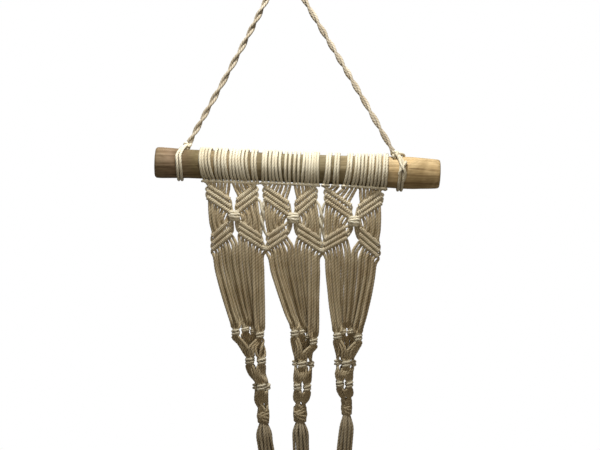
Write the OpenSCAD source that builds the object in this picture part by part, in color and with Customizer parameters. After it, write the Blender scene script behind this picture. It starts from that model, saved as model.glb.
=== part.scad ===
// Hanging macrame planter: three knotted panels side by side on a natural
// branch, each ending in a netted pot cradle with a tassel, hung from one
// twisted cord. Millimetres, +Z up, -Y to the front. The origin is the point
// under the top of the hanging cord where it rests on a hook.

/* [Branch] */
// Length of the branch
branch_len = 428; // [420:1:436]
// Slope of the branch, down to the right, in degrees
branch_tilt = 2.4; // [2.3:0.05:2.5]
// Radius of the branch at its left end
r_left = 23.6; // [23:0.1:24]
// Radius of the branch under the panels
r_mid = 21.8; // [21.4:0.1:22]
// Radius of the branch at its thick place near the right end
r_thick = 24.6; // [24:0.1:24.8]

/* [Cord] */
// Diameter of the cotton cord
cord_d = 4.5; // [4:0.1:4.5]
// Diameter of the two-strand hanging rope
rope_d = 9; // [8:0.1:9.5]

/* [Panels] */
// Strands in one panel, two for each mounting knot
strands = 16; // [16]
// Thickness of one row of double half hitches
row_d = 6.6; // [6:0.1:6.6]
// Drop from one row of hitches to the next
row_step = 9.2; // [9.1:0.05:9.3]
// Radius of the centre button knot
button_r = 8; // [7:0.1:8]
// Distance of the hanging sheet in front of the branch's axis
sheet_y = 12; // [11.5:0.1:12.5]

/* [Cradles] */
// Radius of a square knot in the net
knot_r = 4.4; // [4:0.1:4.4]
// Height of a square knot in the net
knot_h = 9; // [8:0.1:9]
// Radius of the cords between the knots
net_r = 2; // [1.6:0.1:2.1]

/* [Hidden] */
$fn = 32;

cotton = [0.86, 0.82, 0.72];
cotton_shade = [0.78, 0.73, 0.62];
wood = [0.72, 0.60, 0.45];

cr = cord_d/2;
gap = 0.25;
// Left end of the branch's axis
bx = -193.5;
bz = -286.5;

function lerp(a, b, t) = a + (b - a)*t;
function unit(v) = v/norm(v);
function axis_z(x) = bz - (x - bx)*tan(branch_tilt);
function along(x) = (x - bx)/cos(branch_tilt);
// Radius of the branch at a distance from its left end
function branch_r(s) = lookup(s, [[0, r_left], [8, r_left + 0.1], [48, r_mid + 0.1],
  [215, r_mid], [300, r_mid + 0.6], [368, r_thick], [390, r_thick - 0.2], [branch_len, r_mid + 0.4]]);

// Panels, left to right. Edges of the strands on the branch.
top_x = [[-126, -40.5], [-36, 49.5], [57, 153]];
// First row of each leaf arm: outer x, outer z, inner x, inner z
up_l = [[-113, -323.5, -83, -343.5], [-28, -325.5, 5, -348], [64, -330, 98, -354]];
up_r = [[-43, -325, -68, -343.5], [46, -328, 20, -348.5], [144, -334.5, 113, -356]];
lo_l = [[-106, -399, -85, -381], [-24.5, -400, 0, -383], [61, -402, 91, -385]];
lo_r = [[-34, -399, -65, -378.5], [53.5, -403, 22, -382], [141, -410, 114, -388]];
button = [[-75.5, -367.5], [12.5, -371.5], [105, -377]];
// Strands where the long cords begin, and the level at which they swing
leg_x = [[-108.5, -28.5], [-25.5, 56], [60, 141]];
hinge_z = [-425, -428, -437];
// Square knots of each net, row by row, round the tube from the front left,
// as x, y from the sheet, z. The second row sits between the first row's knots.
row1 = [[[-72, -7, -541], [-58, 7, -538], [-45, 7, -540], [-36, -6, -545]],
        [[16, -7, -543], [26.5, 7, -542], [38, 7, -549], [44, -6, -555]],
        [[80, -7, -547], [88, 7, -542], [101, 7, -542], [111, -6, -549]]];
row2 = [[[-51, 8, -585], [-34, 8, -585], [-34, -8, -584], [-51, -8, -584]],
        [[17.5, 1, -588], [28.5, 10, -588], [40, 1, -590], [27, -10, -589]],
        [[80.5, 1, -587], [92, 10, -587], [103, 1, -588], [93, -10, -588]]];
row3 = [[[-42, 0, -623], [-34, 8.5, -623], [-25.5, 0, -623], [-34, -8.5, -623]],
        [[20.5, -7, -623], [20.5, 7, -623], [34.5, 7, -624], [34.5, -7, -624]],
        [[84, -7, -619], [84, 7, -619], [97.5, 7, -619], [97.5, -7, -619]]];
// Gathering knots: x, z, radius, height
gather = [[-31, -667, 10, 19], [24, -664, 11, 20], [94, -655, 9, 20]];
// Tassels: lean to the right in degrees, length below the knot, end radius
tassel = [[7, 164, 13.5], [3, 167, 13.5], [-4, 176, 11.5]];
// Knots that tie the hanging cord to the branch
tie_l = [-146, 5, -261];
tie_r = [166, -14, -275];
tie_r_mm = 5.2;
// Route of the hanging rope's centre, from the left knot over the hook to the right knot
rope_route = [[-143.3, 4.9, -256.1], [-124.3, 4.3, -222], [-104.1, 3.6, -185.9], [-84, 2.9, -149.8],
    [-64.3, 2.2, -113.6], [-45.6, 1.5, -78], [-27, 0.8, -41.5], [-14.5, 0.3, -16.5], [-6, 0.1, 0.5],
    [-3.7, 0, 3.3], [0, 0, 4.5], [3.7, -0.1, 3.3], [5.9, -0.1, 0.8], [16, -1, -16.5],
    [30.6, -2.3, -41.5], [52, -4.2, -78], [73, -6, -113.6], [94.3, -7.9, -149.8], [115.3, -9.7, -185.9],
    [136, -11.5, -222], [151.8, -12.8, -250], [163.1, -13.7, -269.9]];

// Straight round bar between two points
module rod(a, b, r) {
  v = b - a;
  l = norm(v);
  translate(a) rotate([0, acos(v[2]/l), atan2(v[1], v[0])]) cylinder(h = l, r = r);
}

// Round barrel with eased edges, the shape of a drawn-up knot
module barrel(r, h, e = 1.5) {
  rotate_extrude() polygon([[0, -h/2], [r - e, -h/2], [r, -h/2 + e], [r, h/2 - e], [r - e, h/2], [0, h/2]]);
}

// Places children in the branch's own frame, +Z along it, +X down
module on_branch() {
  translate([bx, 0, bz]) rotate([0, 90 + branch_tilt, 0]) children();
}

module branch() {
  st = [for (s = [8, 25, 48, 90, 135, 175, 215, 260, 300, 335, 368, 390]) s];
  color(wood) on_branch() rotate_extrude() polygon(concat(
    [[0, 0], [r_left - 3, 0], [r_left - 0.8, 1.6]],
    [for (s = st) [branch_r(s), s]],
    [[r_mid + 1.4, branch_len - 3], [r_mid - 1.5, branch_len], [0, branch_len]]));
}

// Two turns of cord round the branch and the knot on top of them
module tie(knot, turns) {
  color(cotton) {
    on_branch() for (x = turns)
      translate([0, 0, along(x)]) rotate_extrude() translate([branch_r(along(x)) + gap + cr, 0]) circle(r = cr);
    translate(knot) sphere(r = tie_r_mm);
  }
}
module left_tie_knot() tie(tie_l, [-160, -154.6]);
module right_tie_knot() tie(tie_r, [173.7, 179.1]);

// Rope as one tube swept along its route
function densify(p, step) = concat([p[0]], [for (i = [1:len(p) - 1])
  let (n = max(1, ceil(norm(p[i] - p[i - 1])/step))) for (k = [1:n]) lerp(p[i - 1], p[i], k/n)]);
function tangent(p, i) = unit(p[min(i + 1, len(p) - 1)] - p[max(i - 1, 0)]);
module tube(route, r, sides, step) {
  p = densify(route, step);
  n = len(p);
  pts = [for (i = [0:n - 1]) let (t = tangent(p, i), u = unit(cross([0, 1, 0], t)), w = cross(t, u))
    for (k = [0:sides - 1]) p[i] + r*(cos(360*k/sides)*u + sin(360*k/sides)*w)];
  polyhedron(pts, concat(
    [[for (k = [0:sides - 1]) sides - 1 - k]],
    [[for (k = [0:sides - 1]) (n - 1)*sides + k]],
    [for (i = [0:n - 2], k = [0:sides - 1]) let (a = i*sides + k, b = i*sides + (k + 1)%sides)
      each [[a, b, b + sides], [a, b + sides, a + sides]]]));
}
module hanging_cord() color(cotton) tube(rope_route, rope_d/2, 10, 24);

// Eight larks head knots: sixteen loops round the branch and the bars across them
module mounting(p) {
  x0 = top_x[p][0];
  pitch = (top_x[p][1] - x0)/strands;
  color(cotton) on_branch() {
    for (j = [0:strands - 1]) let (s = along(x0 + pitch*(j + 0.5)))
      translate([0, 0, s]) rotate_extrude() translate([branch_r(s) + gap + cr, 0]) circle(r = cr);
    for (j = [0:strands/2 - 1]) let (s = along(x0 + pitch*(2*j + 0.1)),
        rb = max(branch_r(s), branch_r(s + 2*pitch)) + 2*gap + 3*cr)
      translate([rb*cos(25), -rb*sin(25), s]) cylinder(h = pitch*1.8, r = cr);
  }
}

// Height of a leaf arm's row at x. arm is a first row, k the row's number from 0
function row_z(arm, k, x) = lerp(arm[1], arm[3], (x - arm[0])/(arm[2] - arm[0])) - k*row_step;
function row_half(arm) = row_d/2*norm([arm[2] - arm[0], arm[3] - arm[1]])/abs(arm[2] - arm[0]);

// Vertical run of one cord between two levels
module cord_run(xa, za, xb, zb, r) {
  if (za - zb > 3) rod([xb, -sheet_y, zb], [xa, -sheet_y, za], r);
}

// Cords that fan from the mounting knots to the first row of hitches
module upper_cords(p) {
  x0 = top_x[p][0];
  pitch = (top_x[p][1] - x0)/strands;
  color(cotton_shade) for (j = [2:strands - 3]) {
    left = j < strands/2;
    arm = left ? up_l[p] : up_r[p];
    xa = x0 + pitch*(j + 0.5);
    t = left ? (j + 0.5)/(strands/2) : (strands - j - 0.5)/(strands/2);
    xb = lerp(arm[0], arm[2], t - 0.06);
    cord_run(xa, axis_z(xa) - branch_r(along(xa)) - 9.5, xb, row_z(arm, 0, xb) + row_half(arm) + 2.8, cr - 0.6);
  }
}

// Three rows of hitches on an arm. The last row stops short of the button knot.
module leaf_rows(arm, cut) {
  for (k = [0:2]) {
    a = [arm[0], -sheet_y, arm[1] - k*row_step];
    b = [arm[2], -sheet_y, arm[3] - k*row_step];
    rod(a, b - cut[k]*unit(b - a), row_d/2);
  }
}
module upper_leaves(p) color(cotton) {
  leaf_rows(up_l[p], [0, 0, 4]);
  leaf_rows(up_r[p], [0, 0, 4]);
}
module lower_leaves(p) color(cotton) {
  leaf_rows(lo_l[p], [0, -3, -4]);
  leaf_rows(lo_r[p], [0, 1, 1]);
}

module centre_knot(p) color(cotton)
  translate([button[p][0], -sheet_y, button[p][1]]) rotate([90, 0, 0]) barrel(button_r, 11, 2.5);

// Cords that fill the sides of a panel between the upper and the lower leaves
module side_cords(p) color(cotton_shade) for (q = [[up_l[p], lo_l[p]], [up_r[p], lo_r[p]]], j = [0:4]) {
  xa = lerp(q[0][0], q[0][2], 0.1 + 0.16*j);
  xb = lerp(q[1][0], q[1][2], 0.15 + 0.19*j);
  cord_run(xa, row_z(q[0], 2, xa) - row_half(q[0]) - 2.2, xb, row_z(q[1], 0, xb) + row_half(q[1]) + 2, cr - 0.4);
}

// Cords between the lower leaves and the level where the cradle swings
module inner_cords(p) color(cotton_shade) for (j = [0:strands - 1]) {
  x = lerp(leg_x[p][0], leg_x[p][1], (j + 0.5)/strands);
  arm = x < button[p][0] ? lo_l[p] : lo_r[p];
  za = min(row_z(arm, 2, x), row_z(arm, 2, arm[2])) - row_half(arm) - 2.2;
  cord_run(x, za, x, hinge_z[p] + 3.2, cr - 0.15);
}

// Two cords, one from each panel, twisted together to link neighbouring panels
module link_cord(x, zt, zb) color(cotton) {
  rod([x - 2.2, -sheet_y, zb], [x - 2.2, -sheet_y, zt], 1.9);
  rod([x + 2.2, -sheet_y, zb], [x + 2.2, -sheet_y, zt], 1.9);
}
module left_link_cord() link_cord(-33, -350, -386);
module right_link_cord() link_cord(55.2, -351, -390);

// Four bands of four cords, from the swing line to the first row of net knots
module long_cords(p) color(cotton_shade) for (k = [0:3]) {
  a = lerp(leg_x[p][0], leg_x[p][1], (4*k + 0.5)/strands);
  b = lerp(leg_x[p][0], leg_x[p][1], (4*k + 3.5)/strands);
  q = row1[p][k];
  zt = hinge_z[p] - 3.4;
  zb = q[2] + knot_h/2 + 3.4;
  hull() {
    translate([a, -sheet_y, zt]) sphere(r = cr - 0.15, $fn = 16);
    translate([b, -sheet_y, zt]) sphere(r = cr - 0.15, $fn = 16);
    translate([q[0] - 2, q[1] - sheet_y, zb]) sphere(r = cr - 0.15, $fn = 16);
    translate([q[0] + 2, q[1] - sheet_y, zb]) sphere(r = cr - 0.15, $fn = 16);
  }
}

function at(q) = [q[0], q[1] - sheet_y, q[2]];
module cradle_knots(p) color(cotton)
  for (r = [row1[p], row2[p], row3[p]], q = r) translate(at(q)) barrel(knot_r, knot_h);

// Direction round the tube at a knot, and the two places a cord meets it
function round_dir(r, k) = let (a = r[(k + 3)%4], b = r[(k + 1)%4]) unit([b[0] - a[0], b[1] - a[1], 0]);
function under(r, k, s) = at(r[k]) + s*2.5*round_dir(r, k) - [0, 0, knot_h/2 + 1.3];
function over(r, k, s) = at(r[k]) + s*2.5*round_dir(r, k) + [0, 0, knot_h/2 + 1.3];
module cradle_net(p) color(cotton_shade) {
  g = gather[p];
  for (k = [0:3]) {
    rod(under(row1[p], k, 1), over(row2[p], k, -1), net_r);
    rod(under(row1[p], k, -1), over(row2[p], (k + 3)%4, 1), net_r);
    rod(under(row2[p], k, -1), over(row3[p], k, 1), net_r);
    rod(under(row2[p], k, 1), over(row3[p], (k + 1)%4, -1), net_r);
    q = at(row3[p][k]);
    c = [g[0], -sheet_y, 0];
    d = unit([q[0] - c[0], q[1] - c[1], 0]);
    rod(q - [0, 0, knot_h/2 + 1.5], [c[0], c[1], g[1] + g[3]/2 + 1.5] + 4.6*d, 2.7);
  }
}
module gathering_knot(p) color(cotton)
  translate([gather[p][0], -sheet_y, gather[p][1]]) barrel(gather[p][2], gather[p][3], 3);

// Bundle of free ends. Its round top turns under the gathering knot.
module tassel_bundle(p) {
  g = gather[p];
  t = tassel[p];
  rt = 6.6;
  color(cotton_shade) translate([g[0], -sheet_y, g[1] - g[3]/2 - rt - 0.4]) rotate([0, -t[0], 0])
    rotate_extrude() polygon(concat(
      [for (a = [90:-10:0]) [rt*cos(a), rt*sin(a)]],
      [[rt + 3, -25], [t[2] - 1, -110], [t[2], -t[1]], [0, -t[1]]]));
}

branch();
hanging_cord();
left_tie_knot();
right_tie_knot();
mounting(0);  // left_mounting_knots
mounting(1);  // middle_mounting_knots
mounting(2);  // right_mounting_knots
upper_cords(0);  // left_upper_cords
upper_cords(1);  // middle_upper_cords
upper_cords(2);  // right_upper_cords
upper_leaves(0);  // left_upper_leaves
upper_leaves(1);  // middle_upper_leaves
upper_leaves(2);  // right_upper_leaves
centre_knot(0);  // left_centre_knot
centre_knot(1);  // middle_centre_knot
centre_knot(2);  // right_centre_knot
side_cords(0);  // left_side_cords
side_cords(1);  // middle_side_cords
side_cords(2);  // right_side_cords
lower_leaves(0);  // left_lower_leaves
lower_leaves(1);  // middle_lower_leaves
lower_leaves(2);  // right_lower_leaves
inner_cords(0);  // left_inner_cords
inner_cords(1);  // middle_inner_cords
inner_cords(2);  // right_inner_cords
left_link_cord();
right_link_cord();
long_cords(0);  // left_long_cords
long_cords(1);  // middle_long_cords
long_cords(2);  // right_long_cords
cradle_knots(0);  // left_cradle_knots
cradle_knots(1);  // middle_cradle_knots
cradle_knots(2);  // right_cradle_knots
cradle_net(0);  // left_cradle_net
cradle_net(1);  // middle_cradle_net
cradle_net(2);  // right_cradle_net
gathering_knot(0);  // left_gathering_knot
gathering_knot(1);  // middle_gathering_knot
gathering_knot(2);  // right_gathering_knot
tassel_bundle(0);  // left_tassel
tassel_bundle(1);  // middle_tassel
tassel_bundle(2);  // right_tassel
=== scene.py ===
"""Looks of the hanging macrame planter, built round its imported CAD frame. Lengths in this file are
millimetres in the part's own frame unless they say otherwise, and MM turns them into metres."""

import math

import bpy
import numpy as np
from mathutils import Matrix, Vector


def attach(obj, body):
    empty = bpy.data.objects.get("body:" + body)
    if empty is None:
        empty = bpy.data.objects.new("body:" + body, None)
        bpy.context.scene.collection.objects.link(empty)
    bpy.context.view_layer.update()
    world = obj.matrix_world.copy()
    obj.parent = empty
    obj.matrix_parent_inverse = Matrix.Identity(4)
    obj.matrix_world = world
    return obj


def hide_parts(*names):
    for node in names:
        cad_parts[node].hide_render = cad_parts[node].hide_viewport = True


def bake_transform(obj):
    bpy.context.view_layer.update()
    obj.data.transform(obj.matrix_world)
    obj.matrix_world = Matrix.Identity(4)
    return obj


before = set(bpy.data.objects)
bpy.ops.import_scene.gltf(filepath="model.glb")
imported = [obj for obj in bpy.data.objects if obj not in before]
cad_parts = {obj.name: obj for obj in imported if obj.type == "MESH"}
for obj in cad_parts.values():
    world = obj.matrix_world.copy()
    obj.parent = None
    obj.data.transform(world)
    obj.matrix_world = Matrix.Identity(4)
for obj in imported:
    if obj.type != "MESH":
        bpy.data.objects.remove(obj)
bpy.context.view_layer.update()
MM = 0.001
RNG = np.random.default_rng(41)
PANELS = ["left", "middle", "right"]
SHEET = -12.0

# ---------------------------------------------------------------- camera
cam = bpy.data.cameras.new("camera")
cam.lens = 80
cam.sensor_width = 36
cam_obj = bpy.data.objects.new("camera", cam)
cam_obj.location = (0.024, -2.012, -0.381)
cam_obj.rotation_euler = (math.radians(90), 0, 0)
bpy.context.scene.collection.objects.link(cam_obj)
bpy.context.scene.camera = cam_obj

# ---------------------------------------------------------------- the design's own figures
BX, BZ, TILT, BLEN = -193.5, -286.5, math.radians(2.4), 428.0
R_AT = [(0, 23.6), (8, 23.7), (48, 21.9), (215, 21.8), (300, 22.4), (368, 24.6), (390, 24.4), (428, 22.2)]
TOP = [(-126, -40.5), (-36, 49.5), (57, 153)]
LEG_X = [(-108.5, -28.5), (-25.5, 56), (60, 141)]
HINGE = [-425, -428, -437]
# Rows of hitches on each leaf: outer x, outer z, inner x, inner z
UP = [
    [[(-114, -321.5, -81.5, -343), (-115.5, -329.5, -79.5, -353.5), (-115, -339, -80.5, -362)],
     [(-42.5, -321, -70, -343.5), (-40.5, -330, -72, -353.5), (-40.5, -339, -68.5, -360.5)]],
    [[(-29.5, -323, 6.5, -348), (-30, -331.5, 7.5, -357.5), (-29.5, -340, 6, -365)],
     [(47.5, -324, 18, -347.5), (48.5, -333, 17.5, -358.5), (47.5, -342.5, 20, -366)]],
    [[(62, -326, 100.5, -352.5), (62, -335, 101, -364), (62.5, -344.5, 98.5, -369)],
     [(144.5, -330.5, 112.5, -353.5), (147.5, -338, 110, -364), (146, -347.5, 111, -370.5)]],
]
LOW = [
    [[(-107.5, -398, -86, -378), (-107.5, -409, -79.5, -385.5), (-107.5, -418, -78, -394)],
     [(-34.5, -398, -65.5, -377), (-32, -407, -68, -384), (-29, -417, -68, -392.5)]],
    [[(-24.5, -398, 0, -382), (-24.5, -408, 5.5, -389.5), (-26, -418, 4.5, -397)],
     [(53.5, -401, 21.5, -380), (56.5, -411.5, 20, -388.5), (56.5, -420.5, 20.5, -397.5)]],
    [[(61, -402.5, 91.5, -384.5), (59.5, -411.5, 94, -391.5), (59.5, -418.5, 94.5, -400)],
     [(142, -410, 113.5, -385.5), (142.5, -420.5, 112.5, -394.5), (141, -428.5, 112.5, -403.5)]],
]
BUTTON = [(-74.7, -367), (13.5, -370.5), (104.8, -375.2)]
BAR_PSI = [26, 30, 33]
# Where each loop crosses the front of the branch, and how far its top and its foot lie beside that
LOOPS = [
    [-125.6, -121.9, -117.2, -112.2, -103.0, -97.6, -92.2, -88.0, -80.7, -76.0, -71.5, -67.4, -62.4, -56.6, -47.9, -43.4],
    [-31.3, -27.3, -21.6, -16.6, -12.4, -6.5, 1.9, 8.4, 15.4, 21.8, 29.3, 34.2, 38.3, 42.3, 46.3, 50.2],
    [64.2, 68.3, 76.5, 80.8, 95.8, 100.1, 107.6, 111.8, 117.2, 122.2, 128.6, 132.7, 138.9, 143.4, 149.2, 153.4],
]
TOP_LEAN = [1.3, 0.9, 1.4]
# Where each lark's head has its bar
BARS = [
    [-117.0, -106.8, -96.2, -85.2, -74.0, -63.0, -53.6, -42.0],
    [-28.6, -16.6, -5.2, 6.6, 19.0, 30.0, 39.2, 49.0],
    [63.4, 78.0, 93.2, 105.6, 117.2, 128.4, 138.2, 149.8],
]
ROW1 = [[(-72, -7, -541), (-58, 7, -538), (-45, 7, -540), (-36, -6, -545)],
        [(16, -7, -543), (26.5, 7, -542), (38, 7, -549), (44, -6, -555)],
        [(80, -7, -547), (88, 7, -542), (101, 7, -542), (111, -6, -549)]]
ROW2 = [[(-51, 8, -585), (-34, 8, -585), (-34, -8, -584), (-51, -8, -584)],
        [(17.5, 1, -588), (28.5, 10, -588), (40, 1, -590), (27, -10, -589)],
        [(80.5, 1, -587), (92, 10, -587), (103, 1, -588), (93, -10, -588)]]
ROW3 = [[(-42, 0, -623), (-34, 8.5, -623), (-25.5, 0, -623), (-34, -8.5, -623)],
        [(20.5, -7, -623), (20.5, 7, -623), (34.5, 7, -624), (34.5, -7, -624)],
        [(84, -7, -619), (84, 7, -619), (97.5, 7, -619), (97.5, -7, -619)]]
GATHER = [(-31, -667, 10, 19), (24, -664, 11, 20), (94, -655, 9, 20)]
TASSEL = [(7, 164, 13.0), (3, 167, 13.0), (-4, 176, 11.0)]
TIE_L, TIE_R = (-146, 5, -261), (166, -14, -275)
ROPE = [(-143.3, 4.9, -256.1), (-124.3, 4.3, -222), (-104.1, 3.6, -185.9), (-84, 2.9, -149.8),
        (-64.3, 2.2, -113.6), (-45.6, 1.5, -78), (-27, 0.8, -41.5), (-14.5, 0.3, -16.5), (-6, 0.1, 0.5),
        (-3.7, 0, 3.3), (0, 0, 4.5), (3.7, -0.1, 3.3), (5.9, -0.1, 0.8), (16, -1, -16.5), (30.6, -2.3, -41.5),
        (52, -4.2, -78), (73, -6, -113.6), (94.3, -7.9, -149.8), (115.3, -9.7, -185.9), (136, -11.5, -222),
        (151.8, -12.8, -250), (163.1, -13.7, -269.9)]


def axis_z(x):
    return BZ - (x - BX) * math.tan(TILT)


def branch_r(x):
    s = (x - BX) / math.cos(TILT)
    return float(np.interp(s, [a for a, _ in R_AT], [b for _, b in R_AT]))


def v3(*a):
    return np.array(a, float)


def unit(a):
    return a / np.linalg.norm(a)


def jit(a):
    return RNG.uniform(-a, a)


# ---------------------------------------------------------------- cord meshes
def spline(ctrl, rad, lab, step):
    """Centripetal Catmull-Rom through ctrl. lab and step belong to the stretches between points."""
    P = np.array(ctrl, float)
    keep = [0] + [i for i in range(1, len(P)) if np.linalg.norm(P[i] - P[i - 1]) > 0.05]
    P, rad = P[keep], [rad[i] for i in keep]
    seg = [lab[i - 1] for i in keep[1:]]
    st = [step[i - 1] for i in keep[1:]]
    ext = np.vstack([2 * P[0] - P[1], P, 2 * P[-1] - P[-2]])
    pts, rr, li, cost = [P[0]], [rad[0]], [0], [0.0]
    for i in range(len(P) - 1):
        p0, p1, p2, p3 = ext[i], ext[i + 1], ext[i + 2], ext[i + 3]
        t1 = np.linalg.norm(p1 - p0) ** 0.5
        t2 = t1 + np.linalg.norm(p2 - p1) ** 0.5
        t3 = t2 + np.linalg.norm(p3 - p2) ** 0.5
        m = max(3, int(np.linalg.norm(p2 - p1) / 0.5) + 1)
        t = np.linspace(t1, t2, m + 1)[1:, None]
        a1 = (t1 - t) / t1 * p0 + t / t1 * p1
        a2 = (t2 - t) / (t2 - t1) * p1 + (t - t1) / (t2 - t1) * p2
        a3 = (t3 - t) / (t3 - t2) * p2 + (t - t2) / (t3 - t2) * p3
        b1 = (t2 - t) / t2 * a1 + t / t2 * a2
        b2 = (t3 - t) / (t3 - t1) * a2 + (t - t1) / (t3 - t1) * a3
        c = (t2 - t) / (t2 - t1) * b1 + (t - t1) / (t2 - t1) * b2
        f = np.linspace(0, 1, m + 1)[1:]
        for k in range(m):
            cost.append(cost[-1] + float(np.linalg.norm(c[k] - pts[-1])) / st[i])
            pts.append(c[k])
            rr.append(rad[i] + (rad[i + 1] - rad[i]) * f[k])
            li.append(i)
    pts, cost = np.array(pts), np.array(cost)
    n = max(2, int(round(cost[-1])))
    c = np.linspace(0, cost[-1], n + 1)
    out = np.stack([np.interp(c, cost, pts[:, k]) for k in range(3)], 1)
    r = np.interp(c, cost, rr)
    idx = np.clip(np.searchsorted(cost, c - 1e-9), 0, len(li) - 1)
    labels = [seg[li[i]] for i in idx]
    return out, r, labels


def frames(P):
    n = len(P)
    T = np.zeros_like(P)
    T[1:-1] = P[2:] - P[:-2]
    T[0], T[-1] = P[1] - P[0], P[-1] - P[-2]
    T /= np.linalg.norm(T, axis=1)[:, None]
    a = v3(0, 1, 0) if abs(T[0][1]) < 0.8 else v3(1, 0, 0)
    u = unit(np.cross(a, T[0]))
    U = np.zeros_like(P)
    U[0] = u
    for i in range(1, n):
        u = u - T[i] * float(np.dot(u, T[i]))
        u = u / np.linalg.norm(u)
        U[i] = u
    return T, U, np.cross(T, U)


# Cross-section of a cord laid from three plies
K = 12
PROF = np.tile([1.0, 0.975, 0.88, 0.975], 3)
# GROOVE_SHADE is painted shade round the cross-section: 0 on a ply's crown, 0.8 deep in the groove between two plies
GROOVE_SHADE = np.tile([0.0, 0.2, 0.8, 0.2], 3)
ROUND = np.ones(K)


class Bundle:
    """Gathers cords, then makes one mesh object of them."""

    def __init__(self):
        self.v, self.q, self.t, self.uv_q, self.uv_t, self.g, self.rnd, self.n = [], [], [], [], [], [], [], 0

    def tube(self, P, U, W, r, s, phase, rnd, pitch=15.0, prof=PROF, groove=GROOVE_SHADE, caps=(True, True)):
        n = len(P)
        k = len(prof)
        ang = np.arange(k) * 2 * math.pi / k
        tw = phase + 2 * math.pi * s / pitch
        a = ang[None, :] + tw[:, None]
        rr = r[:, None] * prof[None, :]
        V = P[:, None, :] + rr[..., None] * (np.cos(a)[..., None] * U[:, None, :] + np.sin(a)[..., None] * W[:, None, :])
        base = self.n
        self.v.append(V.reshape(-1, 3))
        self.g.append(np.tile(groove, n))
        self.rnd.append(np.full(n * k, rnd))
        i = np.arange(n - 1)[:, None]
        j = np.arange(k)[None, :]
        j2 = (j + 1) % k
        q = np.stack([base + i * k + j, base + i * k + j2, base + (i + 1) * k + j2, base + (i + 1) * k + j], -1)
        self.q.append(q.reshape(-1, 4))
        u0, u1 = np.broadcast_to(j / k, (n - 1, k)), np.broadcast_to((j + 1) / k, (n - 1, k))
        v0, v1 = np.broadcast_to(s[:-1, None] / 20, (n - 1, k)), np.broadcast_to(s[1:, None] / 20, (n - 1, k))
        self.uv_q.append(np.stack([np.stack([u0, v0], -1), np.stack([u1, v0], -1), np.stack([u1, v1], -1), np.stack([u0, v1], -1)], 2).reshape(-1, 2))
        self.n += n * k
        for end, ring, flip in ((0, 0, True), (1, n - 1, False)):
            if not caps[end]:
                continue
            out = P[ring] + (P[ring] - P[1 if end == 0 else n - 2]) / max(1e-6, np.linalg.norm(P[ring] - P[1 if end == 0 else n - 2])) * r[ring] * 0.35
            self.v.append(V[ring])
            self.v.append(out[None, :])
            # the cap's middle is painted half shaded
            self.g.append(np.append(groove, 0.5))
            self.rnd.append(np.full(k + 1, rnd))
            c = self.n + k
            jj = np.arange(k)
            a0, b0 = self.n + jj, self.n + (jj + 1) % k
            self.n += k + 1
            tri = np.stack([b0, a0, np.full(k, c)], -1) if flip else np.stack([a0, b0, np.full(k, c)], -1)
            self.t.append(tri)
            sv = s[ring] / 20
            self.uv_t.append(np.tile([[0.2, sv], [0.3, sv], [0.25, sv + 0.02]], (k, 1)))

    def make(self, name):
        V = np.concatenate(self.v) * MM
        Q = np.concatenate(self.q)
        T = np.concatenate(self.t) if self.t else np.zeros((0, 3), int)
        me = bpy.data.meshes.new(name)
        me.vertices.add(len(V))
        me.vertices.foreach_set("co", V.astype(np.float32).ravel())
        loops = np.concatenate([Q.ravel(), T.ravel()]).astype(np.int32)
        me.loops.add(len(loops))
        me.loops.foreach_set("vertex_index", loops)
        me.polygons.add(len(Q) + len(T))
        starts = np.concatenate([np.arange(len(Q)) * 4, len(Q) * 4 + np.arange(len(T)) * 3]).astype(np.int32)
        me.polygons.foreach_set("loop_start", starts)
        me.polygons.foreach_set("use_smooth", np.ones(len(Q) + len(T), bool))
        me.update(calc_edges=True)
        uv = me.uv_layers.new(name="cord")
        uvs = np.concatenate(self.uv_q + self.uv_t).astype(np.float32)
        uv.data.foreach_set("uv", uvs.ravel())
        for key, data in (("groove", self.g), ("rnd", self.rnd)):
            at = me.attributes.new(key, "FLOAT", "POINT")
            at.data.foreach_set("value", np.concatenate(data).astype(np.float32))
        me.validate()
        o = bpy.data.objects.new(name, me)
        bpy.context.scene.collection.objects.link(o)
        return o


class Strand:
    """One cord's control points. Each stretch has a label, which says the piece that it belongs to."""

    def __init__(self):
        self.p, self.r, self.l, self.s = [], [], [], []

    def to(self, p, r, lab, step=1.9):
        if self.p:
            self.l.append(lab)
            self.s.append(step)
        self.p.append(np.array(p, float))
        self.r.append(r)
        return self

    def emit(self, bundles, pitch=15.0, rnd=None):
        P, r, labels = spline(self.p, self.r, self.l, self.s)
        T, U, W = frames(P)
        s = np.concatenate([[0], np.cumsum(np.linalg.norm(np.diff(P, axis=0), axis=1))])
        phase = RNG.uniform(0, 2 * math.pi)
        rnd = RNG.uniform(0, 1) if rnd is None else rnd
        i = 0
        n = len(P)
        while i < n - 1:
            j = i + 1
            while j < n - 1 and labels[j + 1] == labels[i + 1]:
                j += 1
            if labels[i + 1] is not None:
                sl = slice(i, j + 1)
                bundles[labels[i + 1]].tube(P[sl], U[sl], W[sl], r[sl], s[sl], phase, rnd, pitch)
            i = j
        return P


# ---------------------------------------------------------------- knots
def hitch(st, row, m, lab, knots=7):
    """Double half hitch number m of a row: two turns round the holding cord."""
    xo, zo, xi, zi = row
    o, i = v3(xo, SHEET, zo), v3(xi, SHEET, zi)
    L = np.linalg.norm(i - o)
    d = (i - o) / L
    n = v3(-d[2], 0, d[0])
    if n[2] < 0:
        n = -n
    pitch = L / knots
    c = o + d * pitch * (m + 0.5)
    rk = min(1.85, max(1.42, pitch / 4 * 1.2))
    for phi in range(0, 541, 45):
        a = -pitch / 4 if phi <= 180 else pitch / 4 if phi >= 360 else -pitch / 4 + (phi - 180) / 180 * pitch / 2
        f = math.radians(phi)
        st.to(c + a * d + (4.25 - rk) * math.cos(f) * n + v3(0, -1, 0) * 2.75 * math.sin(f), rk, lab, 1.25)
    return st


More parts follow.
